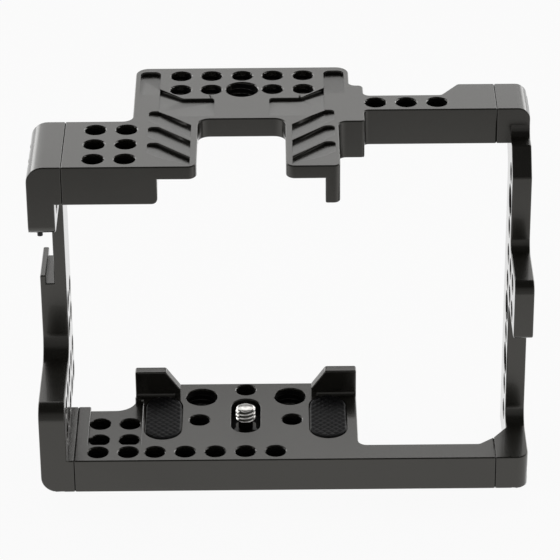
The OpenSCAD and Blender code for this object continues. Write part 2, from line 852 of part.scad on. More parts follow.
module camera_screw() {
    chamfer = 0.7;
    color("#cfccc4") from_datum() translate([0, screw_y, 0]) difference() {
        union() {
            translate([0, 0, thread_bottom]) cylinder(r = thread_r, h = thread_len - chamfer);
            translate([0, 0, thread_top - chamfer]) cylinder(r1 = thread_r, r2 = thread_r - chamfer, h = chamfer);
            translate([0, 0, head_bottom]) cylinder(r = neck_r, h = thread_bottom - head_bottom);
            translate([0, 0, head_bottom]) cylinder(r = head_r, h = head_t);
            translate([-boss_w / 2, 0, ring_z]) rotate([0, 90, 0]) cylinder(r = boss_r, h = boss_w);
            translate([-boss_w / 2, -boss_r, ring_z]) cube([boss_w, 2 * boss_r, head_bottom - ring_z]);
        }
        translate([-head_r, 0, ring_z]) rotate([0, 90, 0]) cylinder(r = ring_wire_r + run_gap, h = 2 * head_r);
        translate([-head_r - cut, -head_r - cut, -base_t - cut]) cube([2 * head_r + 2 * cut, 2 * head_r + 2 * cut, cut + side_gap]);
    }
}
// Folding ring: a pin through the boss, and a bow that folds flat under the head.
module screw_ring() {
    bow_r = ring_reach - ring_wire_r;
    pin_half = bow_r;
    color("#c4c1b8") from_datum() translate([0, screw_y, ring_z]) {
        translate([-pin_half, 0, 0]) rotate([0, 90, 0]) cylinder(r = ring_wire_r, h = 2 * pin_half);
        intersection() {
            rotate_extrude() translate([bow_r, 0]) circle(r = ring_wire_r);
            translate([-2 * head_r, 0, -head_r]) cube([4 * head_r, 2 * head_r, 2 * head_r]);
        }
        for (s = [-1, 1]) {
            translate([s * bow_r, 0, 0]) sphere(r = ring_wire_r);
        }
    }
}

// ---- Joint fasteners ----
module base_left_screws() {
    color("#22211f") from_datum() for (y = left_joint_y) {
        joint_screw(left_x, 1, y, base_joint_z, joint_len_left);
    }
}
module base_right_screw() {
    color("#22211f") from_datum() for (y = right_joint_y) {
        joint_screw(right_x, -1, y, right_joint_z, joint_len_right);
    }
}
module top_left_screws() {
    color("#22211f") from_datum() for (y = top_left_joint_y) {
        joint_screw(left_x, 1, y, top_joint_z, joint_len_left);
    }
}
module top_right_screws() {
    color("#22211f") from_datum() for (y = top_right_joint_y) {
        joint_screw(right_x, -1, y, top_joint_z, joint_len_right);
    }
}
module dowel_row(seam, rows, z) {
    color("#8f8d88") from_datum() for (y = rows) {
        dowel(seam, y, z, 0);
    }
}
module base_left_dowels() {
    dowel_row(left_seam, left_dowel_y, base_joint_z);
}
module base_right_dowel() {
    dowel_row(right_seam, right_dowel_y, base_joint_z);
}
module top_left_dowels() {
    dowel_row(left_seam, top_left_dowel_y, top_joint_z);
}
module top_right_dowels() {
    dowel_row(right_seam, top_right_dowel_y, top_joint_z);
}

base_plate();
left_arm();
right_arm();
top_plate();
left_pad();
right_pad();
left_pad_adhesive();
right_pad_adhesive();
slot_bush();
screw_washer();
camera_screw();
screw_ring();
clamp_set_screw();
base_left_screws();
base_right_screw();
top_left_screws();
top_right_screws();
base_left_dowels();
base_right_dowel();
top_left_dowels();
top_right_dowels();
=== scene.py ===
import math

import bmesh
import bpy
from mathutils import Matrix, Vector


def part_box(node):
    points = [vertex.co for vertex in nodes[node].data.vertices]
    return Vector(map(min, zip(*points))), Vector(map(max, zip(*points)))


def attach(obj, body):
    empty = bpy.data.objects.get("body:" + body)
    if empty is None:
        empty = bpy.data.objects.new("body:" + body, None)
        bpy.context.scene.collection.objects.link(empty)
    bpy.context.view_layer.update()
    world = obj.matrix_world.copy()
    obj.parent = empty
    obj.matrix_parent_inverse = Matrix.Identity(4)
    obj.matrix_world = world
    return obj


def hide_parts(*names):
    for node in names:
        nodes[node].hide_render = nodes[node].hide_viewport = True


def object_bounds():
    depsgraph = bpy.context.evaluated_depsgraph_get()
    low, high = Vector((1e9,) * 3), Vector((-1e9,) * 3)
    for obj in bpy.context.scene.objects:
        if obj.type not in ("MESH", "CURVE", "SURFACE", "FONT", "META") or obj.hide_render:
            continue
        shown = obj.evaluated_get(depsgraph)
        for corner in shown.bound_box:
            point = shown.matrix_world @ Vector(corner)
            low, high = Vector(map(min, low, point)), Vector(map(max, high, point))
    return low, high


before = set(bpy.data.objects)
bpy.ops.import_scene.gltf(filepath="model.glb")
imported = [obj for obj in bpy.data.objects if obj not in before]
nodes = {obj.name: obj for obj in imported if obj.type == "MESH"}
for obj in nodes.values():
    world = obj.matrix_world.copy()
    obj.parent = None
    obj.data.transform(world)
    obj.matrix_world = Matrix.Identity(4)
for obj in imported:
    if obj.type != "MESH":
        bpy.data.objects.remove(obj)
cad_low, cad_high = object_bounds()
MM = 0.001

# ---- Sizes ----
# Millimetres from the camera screw's line (x), the rear row of holes (y) and the camera seat
# (z), as the part's own drawing has them. DATUM is where that point lies in the frame.
DATUM = Vector((-11.55, -26.7, 11.0))
SCREW_Y = 14.8

# Thread of a tapped hole: its pitch, the radius of the hole's wall and of the crest
QUARTER = (25.4 / 20, 3.0, 2.55)
THREE_EIGHTHS = (25.4 / 16, 4.7, 4.1)
# A thread starts this far inside each mouth of its hole
MOUTH = 0.35
# Spacing of the hole grids
GRID = 9.0


def place(x, y, z):
    """A point of the drawing, in the frame and in metres."""
    return (Vector((x, y, z)) + DATUM) * MM


# ---- Working by hand, in code ----
def deselect_all():
    if bpy.context.object and bpy.context.object.mode != "OBJECT":
        bpy.ops.object.mode_set(mode="OBJECT")
    bpy.ops.object.select_all(action="DESELECT")


def pick(obj):
    deselect_all()
    obj.select_set(True)
    bpy.context.view_layer.objects.active = obj


def named(name):
    """Names the active object and its mesh."""
    obj = bpy.context.object
    obj.name = name
    obj.data.name = name
    return obj


def settle(obj):
    """Puts the object's place into its mesh."""
    pick(obj)
    bpy.ops.object.transform_apply(location=True, rotation=True, scale=True)
    return obj


def modify(obj, kind, **settings):
    """Adds a modifier and applies it."""
    pick(obj)
    bpy.ops.object.modifier_add(type=kind)
    modifier = obj.modifiers[-1]
    for key, value in settings.items():
        setattr(modifier, key, value)
    bpy.ops.object.modifier_apply(modifier=modifier.name)
    return obj


def join(name, parts):
    deselect_all()
    for part in parts:
        part.select_set(True)
    bpy.context.view_layer.objects.active = parts[0]
    bpy.ops.object.join()
    return named(name)


def smooth(obj, degrees):
    pick(obj)
    bpy.ops.object.shade_smooth_by_angle(angle=math.radians(degrees))
    return obj


def traced(node, name):
    """A merged copy of a CAD node's mesh, with its flat faces made whole."""
    obj = bpy.data.objects.new(name, nodes[node].data.copy())
    bpy.context.scene.collection.objects.link(obj)
    pick(obj)
    bpy.ops.object.mode_set(mode="EDIT")
    bpy.ops.mesh.select_all(action="SELECT")
    bpy.ops.mesh.remove_doubles(threshold=0.002 * MM)
    bpy.ops.mesh.dissolve_limited(angle_limit=math.radians(0.05))
    bpy.ops.object.mode_set(mode="OBJECT")
    return obj


# ---- Finishes ----
def shade(hex_colour):
    """An sRGB hex colour as linear red, green, blue and a full alpha."""
    parts = [int(hex_colour[i : i + 2], 16) / 255 for i in (1, 3, 5)]
    linear = [p / 12.92 if p <= 0.04045 else ((p + 0.055) / 1.055) ** 2.4 for p in parts]
    return (*linear, 1.0)


def add(tree, kind, links=(), **settings):
    """Adds a node: links are (input name, output socket), settings are inputs or properties."""
    made = tree.nodes.new(kind)
    for key, value in settings.items():
        if hasattr(made, key):
            setattr(made, key, value)
        else:
            made.inputs[key.replace("_", " ")].default_value = value
    for key, socket in links:
        tree.links.new(socket, made.inputs[key])
    return made


def blank(name):
    material = bpy.data.materials.new(name)
    material.use_nodes = True
    tree = material.node_tree
    tree.nodes.clear()
    return material, tree


def finish_surface(tree, surface):
    add(tree, "ShaderNodeOutputMaterial", links=[("Surface", surface.outputs[0])])


def anodised_aluminium():
    # Milled 6061 aluminium, fine bead blast, dyed black: a dark, even, semi-gloss skin that
    # mirrors a bright backdrop softly at a low angle. The blast's pits are about 0.05 mm, too
    # fine to show, so they are drawn at 0.35 mm.
    material, tree = blank("anodised_aluminium_bead_blasted_black")
    where = add(tree, "ShaderNodeTexCoord").outputs["Object"]
    pits = add(
        tree,
        "ShaderNodeTexNoise",
        links=[("Vector", where)],
        Scale=1 / (0.35 * MM),
        Detail=2.0,
    )
    dye = add(
        tree,
        "ShaderNodeTexNoise",
        links=[("Vector", where)],
        Scale=1 / (14 * MM),
        Detail=3.0,
    )
    tone = add(tree, "ShaderNodeValToRGB", links=[("Fac", dye.outputs["Fac"])])
    tone.color_ramp.elements[0].position = 0.3
    tone.color_ramp.elements[0].color = shade("#22211d")
    tone.color_ramp.elements[1].position = 0.7
    tone.color_ramp.elements[1].color = shade("#282723")
    gloss = add(
        tree,
        "ShaderNodeMapRange",
        links=[("Value", pits.outputs["Fac"])],
        To_Min=0.2,
        To_Max=0.28,
    )
    # At a grazing angle the pits hide one another and the skin mirrors sharply.
    grazing = add(tree, "ShaderNodeLayerWeight", Blend=0.5)
    flatten = add(
        tree,
        "ShaderNodeMapRange",
        links=[("Value", grazing.outputs["Facing"])],
        From_Min=0.72,
        From_Max=0.9,
        To_Min=1.0,
        To_Max=0.2,
    )
    skin = add(
        tree,
        "ShaderNodeMath",
        links=[(0, gloss.outputs["Result"]), (1, flatten.outputs["Result"])],
        operation="MULTIPLY",
    )
    bump = add(
        tree,
        "ShaderNodeBump",
        links=[("Height", pits.outputs["Fac"])],
        Strength=0.1,
        Distance=0.02 * MM,
    )
    surface = add(
        tree,
        "ShaderNodeBsdfPrincipled",
        links=[
            ("Base Color", tone.outputs["Color"]),
            ("Roughness", skin.outputs[0]),
            ("Normal", bump.outputs["Normal"]),
        ],
        IOR=1.62,
        Specular_Tint=shade("#fffcf5"),
        Coat_Weight=0.4,
        Coat_Roughness=0.06,
        Coat_IOR=1.3,
    )
    finish_surface(tree, surface)
    return material


def painted_hole_shade_aluminium():
    # The same dyed skin inside the tapped holes and the screw's slot, with painted shade: its
    # colour is made near black for the shade that falls in these hollows. It is duller, as the cut
    # thread is rough.
    material, tree = blank("anodised_aluminium_painted_hole_shade")
    where = add(tree, "ShaderNodeTexCoord").outputs["Object"]
    chatter = add(
        tree,
        "ShaderNodeTexNoise",
        links=[("Vector", where)],
        Scale=1 / (0.5 * MM),
        Detail=2.0,
    )
    tone = add(tree, "ShaderNodeValToRGB", links=[("Fac", chatter.outputs["Fac"])])
    tone.color_ramp.elements[0].color = shade("#060605")
    tone.color_ramp.elements[1].color = shade("#0c0b0a")
    surface = add(
        tree,
        "ShaderNodeBsdfPrincipled",
        links=[("Base Color", tone.outputs["Color"])],
        Roughness=0.8,
        IOR=1.5,
        Specular_IOR_Level=0.12,
    )
    finish_surface(tree, surface)
    return material


def pad_rubber():
    # Moulded EPDM: a matte near-black with a faint bluish bloom.
    material, tree = blank("epdm_rubber_moulded_knurl")
    where = add(tree, "ShaderNodeTexCoord").outputs["Object"]
    grain = add(
        tree,
        "ShaderNodeTexNoise",
        links=[("Vector", where)],
        Scale=1 / (0.3 * MM),
        Detail=2.0,
    )
    tone = add(tree, "ShaderNodeValToRGB", links=[("Fac", grain.outputs["Fac"])])
    tone.color_ramp.elements[0].color = shade("#101011")
    tone.color_ramp.elements[1].color = shade("#1a1a1c")
    bump = add(
        tree,
        "ShaderNodeBump",
        links=[("Height", grain.outputs["Fac"])],
        Strength=0.25,
        Distance=0.03 * MM,
    )
    surface = add(
        tree,
        "ShaderNodeBsdfPrincipled",
        links=[("Base Color", tone.outputs["Color"]), ("Normal", bump.outputs["Normal"])],
        Roughness=0.6,
        IOR=1.45,
    )
    finish_surface(tree, surface)
    return material


def turned_steel(name, low, high, rough_low, rough_high, spacing):
    # Steel turned on a lathe: bright, with fine rings left by the tool round the camera
    # screw's line. They are about 0.1 mm apart, too fine to show, so they are drawn at the
    # given spacing in millimetres. A ring texture of scale 1 has 20 / tau rings to the metre.
    material, tree = blank(name)
    where = add(tree, "ShaderNodeTexCoord").outputs["Object"]
    centred = add(
        tree,
        "ShaderNodeMapping",
        links=[("Vector", where)],
        Location=-place(0, SCREW_Y, 0),
    )
    rings = add(
        tree,
        "ShaderNodeTexWave",
        links=[("Vector", centred.outputs["Vector"])],
        wave_type="RINGS",
        rings_direction="Z",
        Scale=math.tau / 20 / (spacing * MM),
        Distortion=0.6,
        Detail=1.0,
    )
    tone = add(tree, "ShaderNodeValToRGB", links=[("Fac", rings.outputs["Fac"])])
    tone.color_ramp.elements[0].color = shade(low)
    tone.color_ramp.elements[1].color = shade(high)
    gloss = add(
        tree,
        "ShaderNodeMapRange",
        links=[("Value", rings.outputs["Fac"])],
        To_Min=rough_low,
        To_Max=rough_high,
    )
    surface = add(
        tree,
        "ShaderNodeBsdfPrincipled",
        links=[("Base Color", tone.outputs["Color"]), ("Roughness", gloss.outputs["Result"])],
        Metallic=1.0,
    )
    finish_surface(tree, surface)
    return material


def oxide_steel():
    # Alloy steel in black oxide and oil: a dark blue-black with a soft shine on its edges.
    material, tree = blank("alloy_steel_black_oxide")
    where = add(tree, "ShaderNodeTexCoord").outputs["Object"]
    mottle = add(
        tree,
        "ShaderNodeTexNoise",
        links=[("Vector", where)],
        Scale=1 / (0.8 * MM),
        Detail=3.0,
    )
    tone = add(tree, "ShaderNodeValToRGB", links=[("Fac", mottle.outputs["Fac"])])
    tone.color_ramp.elements[0].color = shade("#2a2b2d")
    tone.color_ramp.elements[1].color = shade("#3a3a3b")
    gloss = add(
        tree,
        "ShaderNodeMapRange",
        links=[("Value", mottle.outputs["Fac"])],
        To_Min=0.28,
        To_Max=0.42,
    )
    surface = add(
        tree,
        "ShaderNodeBsdfPrincipled",
        links=[("Base Color", tone.outputs["Color"]), ("Roughness", gloss.outputs["Result"])],
        Metallic=1.0,
    )
    finish_surface(tree, surface)
    return material


def moulded(name, low, high, rough, grain_mm):
    # An injection-moulded or cast plastic: nearly even, with a fine grain of that size.
    material, tree = blank(name)
    where = add(tree, "ShaderNodeTexCoord").outputs["Object"]
    grain = add(
        tree,
        "ShaderNodeTexNoise",
        links=[("Vector", where)],
        Scale=1 / (grain_mm * MM),
        Detail=2.0,
    )
    tone = add(tree, "ShaderNodeValToRGB", links=[("Fac", grain.outputs["Fac"])])
    tone.color_ramp.elements[0].color = shade(low)
    tone.color_ramp.elements[1].color = shade(high)
    bump = add(
        tree,
        "ShaderNodeBump",
        links=[("Height", grain.outputs["Fac"])],
        Strength=0.2,
        Distance=0.02 * MM,
    )
    surface = add(
        tree,
        "ShaderNodeBsdfPrincipled",
        links=[("Base Color", tone.outputs["Color"]), ("Normal", bump.outputs["Normal"])],
        Roughness=rough,
        IOR=1.5,
    )
    finish_surface(tree, surface)
    return material


BLACK = anodised_aluminium()
PAINTED_HOLE_SHADE = painted_hole_shade_aluminium()
RUBBER = pad_rubber()
BRIGHT = turned_steel(
    "stainless_steel_turned",
    low="#c3c1bd",
    high="#dbd9d5",
    rough_low=0.1,
    rough_high=0.16,
    spacing=1.885,
)
GROUND = turned_steel(
    "dowel_steel_ground",
    low="#8b8985",
    high="#a09e99",
    rough_low=0.25,
    rough_high=0.35,
    spacing=3.142,
)
OXIDE = oxide_steel()
NYLON = moulded("nylon_66_moulded_black", "#161513", "#211f1c", rough=0.45, grain_mm=0.6)
TAPE = moulded("acrylic_adhesive_film", "#b9b4a6", "#cdc8bb", rough=0.6, grain_mm=0.8)


def wear(obj, material, body):
    """Gives a new piece its material and the body that it rides."""
    obj.data.materials.clear()
    obj.data.materials.append(material)
    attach(obj, body)
    return obj


# ---- Milled frame ----
EDGE_BREAK = 0.42
# Facets of a rounding meet at less than this angle, and are no edge
LEAST_ANGLE = math.radians(24)
# A face narrower than this has no room for a broken edge
NARROW = 0.5
# The deck's scoops are no deeper than this, and their floors are this nearly level
SCOOP_DEPTH = 1.6
LEVEL = 0.97


def edge_broken(node, name, scooped):
    """A copy of a CAD node whose outer edges are broken.

    The mouths of holes have a chamfer already and narrow faces have no room for one, so
    their edges stay as they are. On a scooped piece, so do the edges round the shallow scoops
    in its top, and the creases between the scoops' floors and the top are kept.
    """
    obj = traced(node, name)
    pick(obj)
    bpy.ops.object.mode_set(mode="EDIT")
    bpy.ops.mesh.select_mode(type="EDGE")
    bpy.ops.mesh.select_all(action="DESELECT")
    mesh = bmesh.from_edit_mesh(obj.data)
    mesh.normal_update()
    scoops_low, scoops_high = cad_high.z - SCOOP_DEPTH * MM, cad_high.z - 0.05 * MM
    for edge in mesh.edges:
        if scooped and all(face.normal.z > LEVEL for face in edge.link_faces):
            edge.smooth = False
        if not edge.is_convex or edge.calc_face_angle() < LEAST_ANGLE:
            continue
        smallest = min(face.calc_area() for face in edge.link_faces)
        if smallest < NARROW * MM * edge.calc_length():
            continue
        lowest = [min(vertex.co.z for vertex in face.verts) for face in edge.link_faces]
        if scooped and any(scoops_low < z < scoops_high for z in lowest):
            continue
        edge.select_set(True)
    bmesh.update_edit_mesh(obj.data)
    bpy.ops.transform.edge_bevelweight(value=1)
    bpy.ops.object.mode_set(mode="OBJECT")
    modify(
        obj,
        "BEVEL",
        width=EDGE_BREAK * MM,
        segments=3,
        limit_method="WEIGHT",
        use_clamp_overlap=False,
        miter_outer="MITER_SHARP",
        loop_slide=False,
    )
    # Where a chain of narrow faces turns a corner, a miter can shoot out: it is drawn back.
    low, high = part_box(node)
    for vertex in obj.data.vertices:
        vertex.co = [min(max(c, a), b) for c, a, b in zip(vertex.co, low, high)]
    smooth(obj, 32)
    modify(obj, "WEIGHTED_NORMAL", weight=60, keep_sharp=True)
    return obj


def paint_slot_shade(piece):
    """Gives the inside of the camera screw's slot the painted shade of the tapped holes."""
    piece.data.materials.append(PAINTED_HOLE_SHADE)
    slot_low, slot_high = place(-4.5, 10, -10.9), place(4.5, 27, -0.5)
    for face in piece.data.polygons:
        inside = zip(slot_low, face.center, slot_high)
        if all(low < middle < high for low, middle, high in inside):
            face.material_index = 1


for node in ("base_plate", "left_arm", "right_arm", "top_plate"):
    piece = edge_broken(node, node + "_milled", scooped=node == "top_plate")
    wear(piece, BLACK, "cage")
    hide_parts(node)
    if node == "base_plate":
        # The slot's inside is painted near black as shade.
        paint_slot_shade(piece)


# ---- Threads in the tapped holes ----
def thread_ridge(pitch, wall, crest, length, tip=0.07, lean=0.0):
    """A helical ridge on a hole's wall round +Z from 0 up, closed at both ends.

    The tip is half the width of its crest as a share of the pitch. The crest's upper edge
    lies nearer the wall by the lean.
    """
    foot = wall + 0.06
    # Just under half a pitch, so that neighbouring turns don't touch
    half_foot, half_tip = pitch * 0.495, pitch * tip
    turns = (length - 2 * half_foot) / pitch
    steps = round(18 * turns)
    deselect_all()
    bpy.ops.mesh.primitive_plane_add(size=1)
    ridge = bpy.context.object
    # The plane's corners in order round its middle become the ridge's section.
    corners = sorted(ridge.data.vertices, key=lambda v: math.atan2(v.co.y, v.co.x))
    section = [(foot, -half_foot), (foot, half_foot), (crest - lean, half_tip), (crest, -half_tip)]
    for vertex, (r, z) in zip(corners, section):
        vertex.co = (r, 0, z)
    pick(ridge)
    bpy.ops.object.mode_set(mode="EDIT")
    bpy.ops.mesh.select_all(action="SELECT")
    bpy.ops.mesh.delete(type="ONLY_FACE")
    bpy.ops.object.mode_set(mode="OBJECT")
    modify(
        ridge,
        "SCREW",
        angle=math.tau * turns,
        screw_offset=pitch * turns,
        steps=steps,
        render_steps=steps,
        use_merge_vertices=False,
        use_smooth_shade=False,
    )
    bpy.ops.object.mode_set(mode="EDIT")
    bpy.ops.mesh.select_all(action="DESELECT")
    bpy.ops.mesh.select_mode(type="EDGE")
    bpy.ops.mesh.select_non_manifold()
    bpy.ops.mesh.edge_face_add()
    bpy.ops.mesh.select_all(action="SELECT")
    bpy.ops.mesh.normals_make_consistent(inside=False)
    bpy.ops.transform.translate(value=(0, 0, half_foot))
    bpy.ops.object.mode_set(mode="OBJECT")
    return ridge


def tapped(name, axis, holes):
    """Threads of holes along X or Z, given as (x, y, z, depth, thread) at their low mouths."""
    if axis == "X":
        inward, turn = Vector((1, 0, 0)), Matrix.Rotation(math.pi / 2, 4, "Y")
    else:
        inward, turn = Vector((0, 0, 1)), Matrix.Identity(4)
    made = {}
    ridges = []
    for x, y, z, depth, thread in holes:
        if (depth, thread) not in made:
            made[depth, thread] = thread_ridge(*thread, depth - 2 * MOUTH)
        template = made[depth, thread]
        ridge = template.copy()
        ridge.data = template.data.copy()
        bpy.context.scene.collection.objects.link(ridge)
        start = Vector((x, y, z)) + DATUM + inward * MOUTH
        ridge.matrix_world = Matrix.Diagonal((MM, MM, MM, 1)) @ Matrix.Translation(start) @ turn
        ridges.append(ridge)
    for template in made.values():
        bpy.data.objects.remove(template)
    for ridge in ridges:
        settle(ridge)
    threads = join(name, ridges)
    smooth(threads, 50)
    # The threads carry painted shade: they are coloured near black for the shade inside the holes.
    return wear(threads, PAINTED_HOLE_SHADE, "cage")


def row(start, count):
    """Places along a grid, from the start on."""
    return [start + GRID * i for i in range(count)]


BASE_T, POCKET_T = 11.0, 9.5
LEFT_END, REAR_ROW = row(-44, 2), row(-3 * GRID, 5)
SIDE_X, SIDE_Y = 14, 17.5
WIDE_X, WIDE_Y = 13.5, 30.5
FRONT_Y = 34.5
base_holes = [(x, 0, -BASE_T, BASE_T, QUARTER) for x in LEFT_END + REAR_ROW]
base_holes += [(x, y, -BASE_T, POCKET_T, QUARTER) for x in LEFT_END for y in row(GRID, 2)]
base_holes += [(x, SIDE_Y, -BASE_T, BASE_T, QUARTER) for x in (-SIDE_X, SIDE_X)]
base_holes += [(0, FRONT_Y, -BASE_T, BASE_T, QUARTER)]
base_holes += [(x, WIDE_Y, -BASE_T, BASE_T, THREE_EIGHTHS) for x in (-WIDE_X, WIDE_X)]
tapped("base_plate_threads", "Z", base_holes)

# The arms' columns of holes, from the rear forwards
COLUMNS = row(GRID / 2, 5)
LEFT_X, LEFT_WALL = -60.9, 7.8
FOOT_ROWS, STRIP_ROWS, BLOCK_ROW = row(4, 2), row(25, 2), 82.4
left_holes = [(LEFT_X, y, z, LEFT_WALL, QUARTER) for z in FOOT_ROWS for y in COLUMNS]
left_holes += [(LEFT_X, y, z, LEFT_WALL, QUARTER) for z in STRIP_ROWS for y in COLUMNS[3:]]
left_holes += [(LEFT_X, COLUMNS[0], BLOCK_ROW, LEFT_WALL, QUARTER)]
tapped("left_arm_threads", "X", left_holes)

RIGHT_X, RIGHT_WALL = 78.3, 5.7
COLUMN_ROWS = row(0, 10)
WIDE_ROWS, LOBE_ROWS = [COLUMN_ROWS[i] for i in (2, 4, 8)], COLUMN_ROWS[5:7]
right_holes = [
    (RIGHT_X, COLUMNS[2], z, RIGHT_WALL, THREE_EIGHTHS if z in WIDE_ROWS else QUARTER)
    for z in COLUMN_ROWS
]
right_holes += [(RIGHT_X, y, z, RIGHT_WALL, QUARTER) for z in LOBE_ROWS for y in COLUMNS[:2]]
tapped("right_arm_threads", "X", right_holes)

TOP = 98.4
DECK_T, BLOCK_T, BAR_T = 6.0, 12.0, 11.4
DECK_X, BLOCK_X, BAR_X = row(-2 * GRID, 5), row(-42, 2), row(39, 3)
DECK_Y, BLOCK_Y, BAR_Y = row(43.7, 2), row(0.4, 3), 34.4
top_holes = [(x, DECK_Y[1], TOP - DECK_T, DECK_T, QUARTER) for x in DECK_X]
top_holes += [
    (x, DECK_Y[0], TOP - DECK_T, DECK_T, QUARTER if x else THREE_EIGHTHS) for x in DECK_X
]
top_holes += [(x, y, TOP - BLOCK_T, BLOCK_T, QUARTER) for x in BLOCK_X for y in BLOCK_Y]
top_holes += [(x, BAR_Y, TOP - BAR_T, BAR_T, QUARTER) for x in BAR_X]
tapped("top_plate_threads", "Z", top_holes)


# ---- Knurled pads ----
def knurled_pad(node, name):
    """A stadium-shaped pad with raised diamonds on its top, inside the node's box."""
    low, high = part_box(node)
    width, length = high.x - low.x, high.y - low.y
    middle_x, middle_y = (low.x + high.x) / 2, (low.y + high.y) / 2
    radius = width / 2
    straight = length / 2 - radius
    rim = 0.2 * MM
    rim_slope = 0.6
    knurl_depth = 0.3 * MM
    knurl_pitch = 2.31 * MM
    # Above 1, the diamonds have flat tops
    knurl_slope = 1.9
    # Beyond this share of the pad's half length, its rows draw together round the end
    drawn_from = 0.6
    drawn_reach = math.sin(drawn_from * math.pi / 2) / drawn_from
    deselect_all()
    bpy.ops.mesh.primitive_grid_add(x_subdivisions=44, y_subdivisions=96, size=2)
    pad = named(name)
    for vertex in pad.data.vertices:
        u, v = vertex.co.x, vertex.co.y
        share = math.sin(v * math.pi / 2) if abs(v) > drawn_from else v * drawn_reach
        y = length / 2 * share
        beyond = max(0.0, abs(y) - straight)
        x = u * math.sqrt(max(radius**2 - beyond**2, 0.0))
        edge = min(radius - math.hypot(x, beyond) if beyond else radius - abs(x), radius)
        a = (x / knurl_pitch + y / knurl_pitch) % 1.0
        b = (x / knurl_pitch - y / knurl_pitch) % 1.0
        crest = min(abs(a - 0.5), abs(b - 0.5)) * 2
        z = high.z - knurl_depth * (1 - min(1.0, crest * knurl_slope))
        if edge < rim:
            z = high.z - knurl_depth - (rim - edge) * rim_slope
        vertex.co = (middle_x + x, middle_y + y, z)
    pick(pad)
    bpy.ops.object.mode_set(mode="EDIT")
    bpy.ops.mesh.select_all(action="SELECT")
    bpy.ops.mesh.remove_doubles(threshold=0.004 * MM)
    bpy.ops.mesh.select_mode(type="EDGE")
    bpy.ops.mesh.select_all(action="DESELECT")
    bpy.ops.mesh.select_non_manifold()
    bpy.ops.mesh.extrude_edges_move(TRANSFORM_OT_translate={"value": (0, 0, -0.5 * MM)})
    bpy.ops.object.mode_set(mode="OBJECT")
    for vertex in pad.data.vertices:
        if vertex.select:
            vertex.co.z = low.z
    bpy.ops.object.mode_set(mode="EDIT")
    bpy.ops.mesh.edge_face_add()
    bpy.ops.mesh.select_all(action="SELECT")
    bpy.ops.mesh.normals_make_consistent(inside=False)
    bpy.ops.object.mode_set(mode="OBJECT")
    smooth(pad, 40)
    wear(pad, RUBBER, "cage")
    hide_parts(node)


knurled_pad("left_pad", "left_pad_knurled")
knurled_pad("right_pad", "right_pad_knurled")


# ---- Camera screw ----
def lathe(name, profile, steps):
    """Turns a profile of (radius, height) pairs, in millimetres, round the Z axis."""
    deselect_all()
    bpy.ops.mesh.primitive_plane_add(size=1)
    turned = named(name)
    bpy.ops.object.mode_set(mode="EDIT")
    bpy.ops.mesh.select_mode(type="VERT")
    bpy.ops.mesh.select_all(action="SELECT")
    bpy.ops.mesh.merge(type="CENTER")
    bpy.ops.transform.translate(value=(profile[0][0], 0, profile[0][1]))
    for (r0, z0), (r1, z1) in zip(profile, profile[1:]):
        step = (r1 - r0, 0, z1 - z0)
        bpy.ops.mesh.extrude_vertices_move(TRANSFORM_OT_translate={"value": step})
    bpy.ops.object.mode_set(mode="OBJECT")
    modify(
        turned,
        "SCREW",
        angle=math.tau,
        screw_offset=0,
        steps=steps,
        render_steps=steps,
        use_merge_vertices=True,
        merge_threshold=0.001,
        use_smooth_shade=False,
    )
    bpy.ops.object.mode_set(mode="EDIT")
    bpy.ops.mesh.select_all(action="SELECT")
    bpy.ops.mesh.remove_doubles(threshold=0.001)
    bpy.ops.mesh.normals_make_consistent(inside=False)
    bpy.ops.object.mode_set(mode="OBJECT")
    return turned


def to_screw_line(obj):
    """Puts a piece turned round the Z axis, in millimetres, onto the camera screw's line."""
    obj.matrix_world = (
        Matrix.Diagonal((MM, MM, MM, 1))
        @ Matrix.Translation(Vector((0, SCREW_Y, 0)) + DATUM)
        @ obj.matrix_world
    )
    return settle(obj)


def combine(body, tool, operation):
    modify(body, "BOOLEAN", object=tool, operation=operation, solver="EXACT")
    bpy.data.objects.remove(tool)
    return body


def camera_screw():
    """Quarter-inch screw with a rolled thread, a relieved neck and a knurled head."""
    thread_top, thread_bottom = 6.1, 1.9
    major, minor, neck = 3.06, 2.3, 2.2
    head_top, head_bottom, head_r = -7.35, -8.95, 7.0
    flat_r = 1.75
    head_steps, head_knurl = 96, 0.28
    core = lathe(
        "camera_screw_turned",
        [
            (0, thread_top),
            (flat_r, thread_top),
            (minor - 0.1, thread_top - 0.12),
            (minor, thread_top - 0.3),
            (minor, thread_bottom + 0.25),
            (neck, thread_bottom - 0.05),
            (neck, head_top),
            (head_r - 0.35, head_top),
            (head_r, head_top - 0.3),
            (head_r, head_bottom + 0.3),
            (head_r - 0.3, head_bottom),
            (0, head_bottom),
        ],
        head_steps,
    )
    # Straight knurl round the head: every third column is pushed in.
    for vertex in core.data.vertices:
        r = math.hypot(vertex.co.x, vertex.co.y)
        column = round(math.atan2(vertex.co.y, vertex.co.x) / math.tau * head_steps)
        if r > head_r - 0.1 and column % 3 == 0:
            vertex.co.x *= (r - head_knurl) / r
            vertex.co.y *= (r - head_knurl) / r
    # The ridge runs past both ends of the thread, and an envelope cuts it to a tapered start
    # and end. Its crests lean a little, so that each catches the room's light.
    under, over = 0.9, 0.7
    length = under + thread_top - thread_bottom + over
    ridge = thread_ridge(QUARTER[0], minor - 0.12, major, length, tip=0.13, lean=0.12)
    ridge.location.z = thread_bottom - under
    settle(ridge)
    envelope = lathe(
        "thread_envelope",
        [
            (0, thread_bottom + 0.05),
            (minor - 0.1, thread_bottom + 0.05),
            (major + 0.02, thread_bottom + 0.75),
            (major + 0.02, thread_top - 0.6),
            (minor - 0.05, thread_top - 0.02),
            (0, thread_top - 0.02),
        ],
        64,
    )
    combine(ridge, envelope, "INTERSECT")
    combine(core, ridge, "UNION")
    core.name = "camera_screw_turned"
    return smooth(to_screw_line(core), 30)


